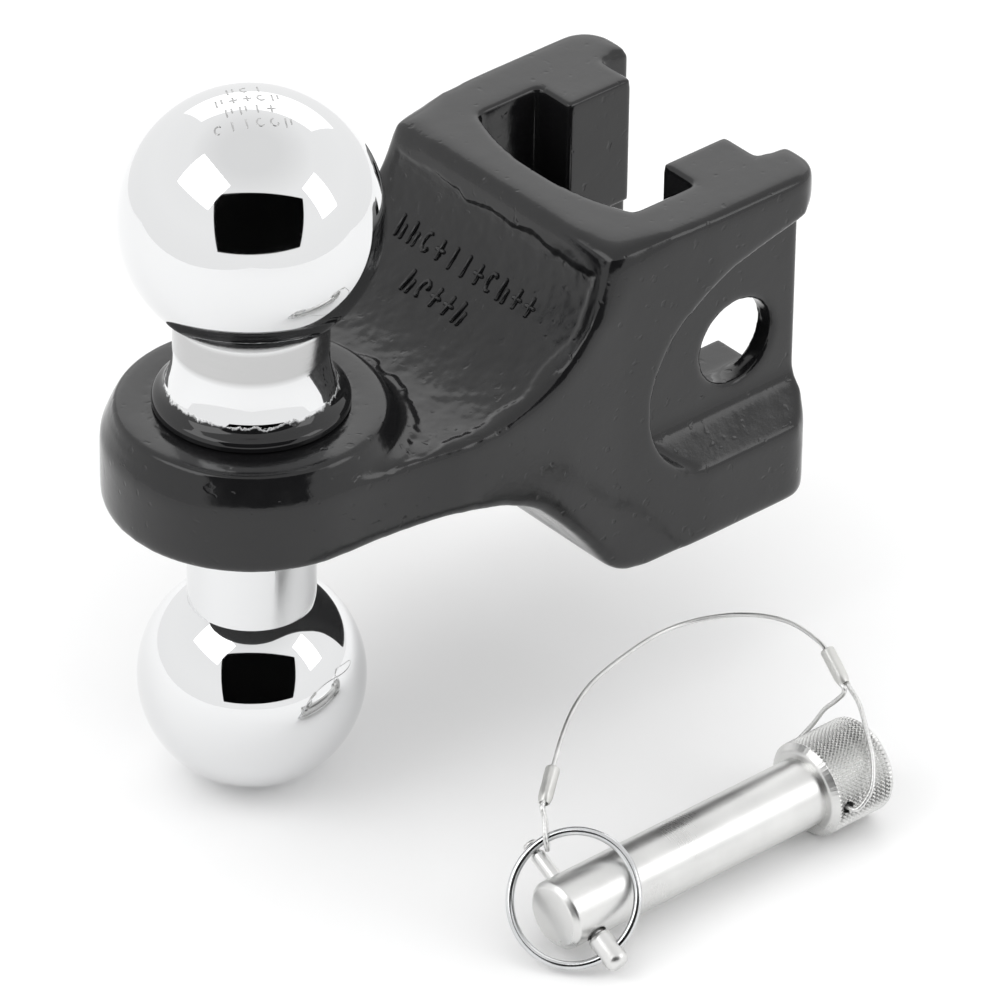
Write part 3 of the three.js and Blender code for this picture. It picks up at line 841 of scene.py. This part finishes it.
def make_casting_marks():
    """Two rows of raised foundry marks on the ramp, as plain strokes.

    A row is its top in degrees down the ramp's curve, its first place across, and its count."""
    strokes = []
    for row, (top, first, count) in enumerate([(31, 25, 11), (46, 14, 5)]):
        for i, shape in enumerate(mark_shapes(count, row + 3)):
            for line in shape:
                points = []
                for u, v in line:
                    across = (first - (i + u) * MARK_PITCH) * MM
                    points.append(ramp_place(top + (1 - v) * MARK_DEGREES, across, MARK_LIFT))
                strokes.append(stroke(points, MARK_STROKE))
    marks = strokes_object("casting_marks", strokes)
    return finish_piece(marks, black_paint, "mount")


# ------------------------------------------------------------------ balls


def ball_profile(neck, centre, radius, side, steps=96):
    """From the neck round to the pole, as (radius, height) pairs: side is 1 up and -1 down."""
    start = math.pi - math.asin(neck / radius)
    points = []
    for k in range(steps + 1):
        angle = start * (1 - k / steps) + 0.002
        points.append((radius * math.sin(angle), centre + side * radius * math.cos(angle)))
    return points


# The upper ball stays this far inside its CAD ball, which leaves room for the stamped strokes.
BALL_SKIN = 0.13 * MM
UPPER_NECK_RADIUS = 17.1 * MM
FLANGE_RADIUS = 21.8 * MM
LOWER_BALL_RADIUS = 25.4 * MM
LOWER_NECK_RADIUS = 14.3 * MM
LOWER_FOOT_RADIUS = 17.7 * MM
THREAD_RADIUS = 9 * MM
STAMP_PITCH = 3
STAMP_ROW = 4.2
STAMP_HEIGHT = 2.7
STAMP_STROKE = 0.26 * MM
STAMP_SUNK = 0.13 * MM


def make_upper_ball():
    radius = (UPPER_HIGH.x - UPPER_LOW.x) / 2 - BALL_SKIN
    centre = UPPER_HIGH.z - radius - BALL_SKIN
    foot = UPPER_LOW.z + 0.1 * MM
    seat = BOSS_TOP_Z + 0.3 * MM
    neck = UPPER_NECK_RADIUS
    join = centre - math.sqrt(radius**2 - neck**2)
    profile = rounded_profile([
        (THREAD_RADIUS, foot, 0),
        (THREAD_RADIUS, seat, 0),
        (FLANGE_RADIUS, seat, 0.6 * MM),
        (21.7 * MM, 18.8 * MM, 1.2 * MM),
        (18.9 * MM, 20.6 * MM, 3 * MM),
        (neck, 27 * MM, 6 * MM),
        (neck, join - 0.4 * MM, 0),
    ])
    profile += ball_profile(neck, centre, radius, 1)
    ball = new_object("upper_tow_ball", turned_mesh("ball", profile, 192, Vector((BALL_X, 0, 0))))
    smooth_by_angle(ball, 50)
    return finish_piece(ball, upper_chrome, "mount", ["upper_ball"])


def make_lower_ball():
    radius = LOWER_BALL_RADIUS
    centre = LOWER_LOW.z + radius
    seat = ARM_BOTTOM_Z - 0.3 * MM
    neck = LOWER_NECK_RADIUS
    join = centre + math.sqrt(radius**2 - neck**2)
    profile = rounded_profile([
        (neck, join, 0),
        (neck, -13.5 * MM, 4 * MM),
        (LOWER_FOOT_RADIUS, -10.6 * MM, 0.8 * MM),
        (LOWER_FOOT_RADIUS, seat, 0.6 * MM),
        (THREAD_RADIUS, seat, 0),
    ])
    under = list(reversed(ball_profile(neck, centre, radius, -1)))
    ball = new_object("lower_tow_ball", turned_mesh("ball", under + profile, 176, Vector((BALL_X, 0, 0))))
    smooth_by_angle(ball, 50)
    return finish_piece(ball, lower_chrome, "mount", ["lower_ball"])


def make_ball_stamp():
    """Low raised strokes on the top of the upper ball, where its size marking is stamped. Their chrome is
    rougher and darker than the ball's, and the darker colour is painted shade for the stamped
    impressions.
    """
    radius = UPPER_HIGH.x - BALL_X - BALL_SKIN
    centre = Vector((BALL_X, 0, UPPER_HIGH.z - radius - BALL_SKIN))
    strokes = []
    for row, count in enumerate((3, 5, 4, 6)):
        for i, shape in enumerate(mark_shapes(count, row + 20)):
            for line in shape:
                points = []
                for u, v in line:
                    across = (i - count / 2 + u) * STAMP_PITCH
                    along = (row - 1.6) * STAMP_ROW + v * STAMP_HEIGHT
                    flat = Vector((across * 0.87 - along * 0.5, -across * 0.5 - along * 0.87, 0)) * MM
                    flat.z = math.sqrt(radius**2 - flat.length_squared)
                    points.append(centre + flat * (1 - STAMP_SUNK / radius))
                strokes.append(stroke(points, STAMP_STROKE))
    return finish_piece(strokes_object("ball_stamp", strokes), stamp_chrome_painted_shade, "mount")


# ------------------------------------------------------------------ hitch pin

PIN_LENGTH = HEAD_LOW.x - 0.3 * MM - PIN_TAIL.x
PIN_RADIUS = 7.94 * MM
HEAD_RADIUS_OUT = (HEAD_HIGH.y - HEAD_LOW.y) / 2
LANYARD_HOLE_X = PIN_TAIL.x + PIN_LENGTH + 4.2 * MM
KNURL_COUNT = 66
KNURL_STEP = 1.15 * MM
KNURL_DEPTH = 0.42 * MM
KNURL_START = PIN_LENGTH + 1.6 * MM
KNURL_END = PIN_LENGTH + 17.2 * MM
CROSS_HOLE_RADIUS = 2.4 * MM
LANYARD_HOLE_RADIUS = 1.5 * MM
HEAD_LENGTH = 18 * MM


def make_pin_shank():
    profile = rounded_profile([
        (0.1 * MM, 0, 0),
        (PIN_RADIUS - 1.1 * MM, 0, 0.3 * MM),
        (PIN_RADIUS, 1.1 * MM, 0.4 * MM),
        (PIN_RADIUS, PIN_LENGTH + 0.35 * MM, 0),
        (6 * MM, PIN_LENGTH + 0.35 * MM, 0),
    ])
    shank = new_object("pin_shank_turned", turned_mesh("shank", profile, 144, PIN_TAIL, PIN_AXIS))
    reach = SNAP_AXIS * 14 * MM
    cut(shank, [rod_mesh(CROSS_HOLE - reach, CROSS_HOLE + reach, CROSS_HOLE_RADIUS)])
    smooth_by_angle(shank, 40)
    return finish_piece(shank, pin_zinc, "hitch_pin", ["hitch_pin_shank"])


def zigzag(value):
    """0 at whole numbers and 1 halfway between them."""
    return 1 - abs(2 * (value % 1) - 1)


def knurl_radius(angle, radius, height):
    """Raised diamonds where two sets of spiral grooves cross. They fade out at both ends."""
    fade = min(height - KNURL_START, KNURL_END - height) / (0.7 * MM)
    fade = min(1.0, max(0.0, fade))
    turns = KNURL_COUNT * angle / (2 * math.pi)
    run = height / KNURL_STEP
    diamond = min(1.0, 1.25 * min(zigzag(turns + run), zigzag(turns - run)))
    return radius - KNURL_DEPTH * fade * (1 - diamond)


def make_pin_head():
    face = PIN_LENGTH + 0.3 * MM
    end = PIN_LENGTH + HEAD_LENGTH
    profile = rounded_profile([
        (6 * MM, face, 0),
        (HEAD_RADIUS_OUT - 1.5 * MM, face, 0.5 * MM),
        (HEAD_RADIUS_OUT, face + 1.5 * MM, 0.3 * MM),
    ])
    first, last = face + 1.7 * MM, end - 1.3 * MM
    steps = round((last - first) / (0.13 * MM))
    profile += [(HEAD_RADIUS_OUT, first + (last - first) * k / steps) for k in range(steps + 1)]
    rear_chamfer = [(-0.15, 0.7), (-0.5, 0.25), (-1.1, 0)]
    profile += [(HEAD_RADIUS_OUT + r * MM, end - h * MM) for r, h in rear_chamfer]
    profile.append((0.1 * MM, end))
    segments = KNURL_COUNT * 8
    mesh = turned_mesh("head", profile, segments, PIN_TAIL, PIN_AXIS, knurl_radius)
    head = new_object("pin_head_knurled", mesh)
    middle = Vector((LANYARD_HOLE_X, PIN_TAIL.y, PIN_TAIL.z))
    across = Vector((0, 15 * MM, 0))
    cut(head, [rod_mesh(middle - across, middle + across, LANYARD_HOLE_RADIUS)])
    smooth_by_angle(head, 35)
    return finish_piece(head, pin_zinc, "hitch_pin", ["hitch_pin_head"])


# ------------------------------------------------------------------ snap pin and ring

SNAP_TIP = -17.5 * MM
SNAP_RADIUS = 1.7 * MM
SNAP_HEAD_RADIUS = 2.75 * MM
SNAP_HEAD_START = 8.3 * MM
SNAP_HEAD_END = 16.8 * MM
RING_HOLE_RADIUS = 1.35 * MM
RING_RADIUS = 14.3 * MM
RING_SEGMENTS = 160
WIRE_RADIUS = 0.95 * MM
WIRE_SEGMENTS = 20
GROOVE_RADIUS = 1.2 * MM
REST_HEIGHT = GROOVE_RADIUS + WIRE_RADIUS + 0.3 * MM
RING_SPAN = math.sqrt((2 * RING_RADIUS) ** 2 - REST_HEIGHT**2)
RING_ACROSS = (SNAP_SIDE * REST_HEIGHT - SNAP_AXIS * RING_SPAN).normalized()


def make_snap_pin():
    hole = (HINGE_POINT - CROSS_HOLE).dot(SNAP_AXIS)
    groove = hole - RING_SPAN
    profile = rounded_profile([
        (0.1 * MM, SNAP_TIP, 0),
        (1.45 * MM, SNAP_TIP, 0.3 * MM),
        (SNAP_RADIUS, -17.1 * MM, 0.3 * MM),
        (SNAP_RADIUS, groove - 1.2 * MM, 0.2 * MM),
        (GROOVE_RADIUS, groove - 0.8 * MM, 0.3 * MM),
        (GROOVE_RADIUS, groove + 0.9 * MM, 0.3 * MM),
        (SNAP_RADIUS, groove + 1.4 * MM, 0.2 * MM),
        (SNAP_RADIUS, SNAP_HEAD_START, 0.2 * MM),
        (2.3 * MM, 8.35 * MM, 0.3 * MM),
        (SNAP_HEAD_RADIUS, 9.1 * MM, 0.8 * MM),
        (SNAP_HEAD_RADIUS, 15.6 * MM, 0.8 * MM),
        (1.75 * MM, 16.75 * MM, 0.6 * MM),
        (0.1 * MM, SNAP_HEAD_END, 0),
    ], 0.12 * MM)
    pin = new_object("snap_pin_turned", turned_mesh("snap", profile, 72, CROSS_HOLE, SNAP_AXIS))
    reach = HINGE_AXIS * 6 * MM
    cut(pin, [rod_mesh(HINGE_POINT - reach, HINGE_POINT + reach, RING_HOLE_RADIUS, 32)])
    smooth_by_angle(pin, 40)
    return finish_piece(pin, snap_zinc, "snap_pin", ["snap_pin"])


def make_snap_ring():
    centre = HINGE_POINT + RING_ACROSS * RING_RADIUS
    normal = RING_ACROSS.cross(HINGE_AXIS)
    section = [2 * math.pi * j / WIRE_SEGMENTS for j in range(WIRE_SEGMENTS)]
    rings = []
    for k in range(RING_SEGMENTS):
        angle = 2 * math.pi * k / RING_SEGMENTS
        outward = RING_ACROSS * math.cos(angle) + HINGE_AXIS * math.sin(angle)
        middle = centre + outward * RING_RADIUS
        spokes = [outward * math.cos(a) + normal * math.sin(a) for a in section]
        rings.append([middle + spoke * WIRE_RADIUS for spoke in spokes])
    faces = close_rings(rings, closed_loop=True)
    ring = new_object("snap_ring_wire", mesh_from("ring", [v for r in rings for v in r], faces))
    return finish_piece(ring, wire_steel, "snap_ring", ["snap_ring"])


# ------------------------------------------------------------------ lanyard loops and ferrules


def crimped(angle, radius, height):
    """A crimped ferrule: four flats in the middle of its length and round ends."""
    middle = 1 - min(1.0, abs(abs(height) / FERRULE_LENGTH * 2) ** 4)
    flats = 0.5 + 0.5 * math.cos(4 * angle)
    return radius * (1 - 0.1 * middle * flats) if radius > FERRULE_RADIUS * 0.6 else radius


def make_ferrule(name, ferrule, narrow_end, node, body):
    """A ferrule with a small mouth at each end. narrow_end is -1 or 1: the end that tapers."""
    middle, along = ferrule
    half = FERRULE_LENGTH / 2
    profile = rounded_profile([
        (0.7 * MM, -half + 1.2 * MM, 0),
        (0.9 * MM, -half + 0.1 * MM, 0.2 * MM),
        (FERRULE_RADIUS * 0.72, -half, 0.2 * MM),
        (FERRULE_RADIUS * 0.98, -half + 1.5 * MM, 0.8 * MM),
        (FERRULE_RADIUS, half - 0.6 * MM, 0.4 * MM),
        (FERRULE_RADIUS * 0.93, half, 0.25 * MM),
        (0.95 * MM, half - 0.1 * MM, 0.2 * MM),
        (0.7 * MM, half - 1.4 * MM, 0),
    ], 0.12 * MM)
    mesh = turned_mesh(name, profile, 48, middle, -along * narrow_end, crimped)
    ferrule_piece = new_object(name, mesh)
    smooth_by_angle(ferrule_piece, 45)
    return finish_piece(ferrule_piece, ferrule_metal, body, [node])


def make_ring_loop():
    groove = CROSS_HOLE - SNAP_AXIS * (RING_SPAN - (HINGE_POINT - CROSS_HOLE).length)
    wire = groove + SNAP_SIDE * REST_HEIGHT + HINGE_AXIS * 2.4 * MM
    base = on_ferrule(RING_FERRULE, -FERRULE_END)
    up = (base - wire).normalized()
    aside = up.cross(HINGE_AXIS).normalized()
    low = [(4.2, 1.1), (1.8, 1.7), (0, 2), (-1.9, 1.5), (-2.7, 0)]
    low += [(height, -width) for height, width in reversed(low[:-1])]
    route = [on_ferrule(RING_FERRULE, d * MM - FERRULE_END) + aside * STRAND_SPREAD for d in (1.4, -1)]
    route += [wire + up * height * MM + aside * width * MM for height, width in low]
    route += [on_ferrule(RING_FERRULE, d * MM - FERRULE_END) - aside * STRAND_SPREAD for d in (-1, 1.4)]
    path = smooth_path(route, 0.25 * MM)
    loop = new_object("ring_loop_rope", rope_mesh("loop", path))
    return finish_piece(loop, cable_steel, "snap_ring", ["lanyard_ring_loop"])


def make_head_loop():
    spread = Vector((STRAND_SPREAD, 0, 0))
    hole = Vector((LANYARD_HOLE_X, 0, PIN_TAIL.z))
    route = [on_ferrule(HEAD_FERRULE, FERRULE_END + d * MM) + spread for d in (-1.4, 1)]
    route += [
        Vector((-0.0206, -0.0966, -0.0532)),
        Vector((-0.0222, -0.101, -0.0572)),
        Vector((-0.0246, -0.106, -0.0618)),
        Vector((-0.0284, -0.1096, -0.0662)),
        Vector((hole.x + 0.6 * MM, -0.1094, -0.0695)),
        Vector((hole.x, -0.107, hole.z)),
        Vector((hole.x, -0.0965, hole.z)),
        Vector((hole.x, -0.0856, hole.z)),
        Vector((hole.x + 1.4 * MM, -0.083, -0.07)),
        Vector((-0.0266, -0.0826, -0.0692)),
        Vector((-0.0226, -0.084, -0.0652)),
        Vector((-0.0218, -0.087, -0.0596)),
        Vector((-0.022, -0.091, -0.0548)),
    ]
    route += [on_ferrule(HEAD_FERRULE, FERRULE_END + d * MM) - spread for d in (1, -1.4)]
    path = smooth_path(route, 0.3 * MM)
    loop = new_object("head_loop_rope", rope_mesh("loop", path))
    return finish_piece(loop, cable_steel, "hitch_pin", ["lanyard_head_loop"])


# ------------------------------------------------------------------ studio


# The floor ends here, so that it doesn't hide the dark card's lower edge from the balls.
FLOOR_HALF = 0.65
CARD_SHIFT = Vector((0.5, -0.3, 0.3))
CARD_HALF = (1.9, 1.16)


def sheet(name, wide, high, place):
    """A flat rectangle of half sizes wide and high, with each corner put where place(x, y) says."""
    corners = [(-wide, -high), (wide, -high), (wide, high), (-wide, high)]
    return new_object(name, mesh_from(name, [place(x, y) for x, y in corners], [(0, 1, 2, 3)]))


def make_floor():
    floor = sheet("floor", FLOOR_HALF, FLOOR_HALF, lambda x, y: (x, y, FLOOR_Z))
    floor.data.materials.append(make_floor_white())


def make_dark_card():
    """A black card round the camera, which the balls reflect as a dark window."""
    card = Nodes("dark_card")
    card.set(Roughness=1.0, Specular_IOR_Level=0.0)
    card.to(Base_Color=card.mix(card.noise(2), (0.001, 0.001, 0.001), (0.002, 0.002, 0.002)))
    turn = camera.matrix_world.to_3x3()
    middle = CAMERA_PLACE + turn @ CARD_SHIFT
    piece = sheet("dark_card", *CARD_HALF, lambda x, y: middle + turn @ Vector((x, y, 0)))
    piece.data.materials.append(card.material)
    piece.visible_camera = False
    piece.visible_diffuse = False
    piece.visible_shadow = False


def make_light(name, place, size, power, reflected=True):
    data = bpy.data.lights.new(name, "AREA")
    data.shape = "RECTANGLE"
    data.size, data.size_y = size
    data.energy = power
    light = new_object(name, data)
    light.visible_glossy = reflected
    light.location = place
    light.rotation_mode = "QUATERNION"
    light.rotation_quaternion = (Vector((-0.05, -0.02, 0)) - Vector(place)).to_track_quat("-Z", "Y")


def make_world():
    """A white light tent, a little greyer overhead and below."""
    world = bpy.data.worlds.new("tent")
    world.use_nodes = True
    tree = world.node_tree
    place = tree.nodes.new("ShaderNodeTexCoord").outputs["Generated"]
    split = tree.nodes.new("ShaderNodeSeparateXYZ")
    ramp = tree.nodes.new("ShaderNodeValToRGB")
    for _ in range(3):
        ramp.color_ramp.elements.new(0.5)
    stops = [(0, 1.0), (0.5, 1.05), (0.62, 1.07), (0.85, 1.05), (0.97, 0.9)]
    for element, (at, value) in zip(ramp.color_ramp.elements, stops):
        element.position = at
        element.color = (value, value, value, 1)
    height = tree.nodes.new("ShaderNodeMapRange")
    height.inputs["From Min"].default_value = -1
    tree.links.new(place, split.inputs[0])
    tree.links.new(split.outputs["Z"], height.inputs["Value"])
    tree.links.new(height.outputs["Result"], ramp.inputs["Fac"])
    tree.links.new(ramp.outputs["Color"], tree.nodes["Background"].inputs["Color"])
    tree.nodes["Background"].inputs["Strength"].default_value = 1.0
    bpy.context.scene.world = world
    bpy.context.scene.view_settings.view_transform = "Standard"


make_world()
make_floor()
make_dark_card()
make_light("key", (-1.05, 0.25, 1.1), (1.0, 0.7), 4)
make_light("fill", (0.6, -1.0, 0.7), (0.45, 0.7), 1.8)
make_light("rim", (0.7, 0.8, 0.72), (1.6, 0.7), 2.2)
make_light("top", (-0.3, -0.2, 2.0), (2.4, 2.4), 4, reflected=False)

make_casting()
make_casting_marks()
make_upper_ball()
make_lower_ball()
make_ball_stamp()
make_pin_shank()
make_pin_head()
make_snap_pin()
make_snap_ring()
ring_ferrule = make_ferrule("ring_ferrule_crimped", RING_FERRULE, -1, "lanyard_ring_ferrule", "snap_ring")
head_ferrule = make_ferrule("head_ferrule_crimped", HEAD_FERRULE, 1, "lanyard_head_ferrule", "hitch_pin")
ring_loop = make_ring_loop()
head_loop = make_head_loop()

finish_piece(lanyard_cable, cable_steel, nodes=["lanyard_cable"])
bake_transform(lanyard_cable)
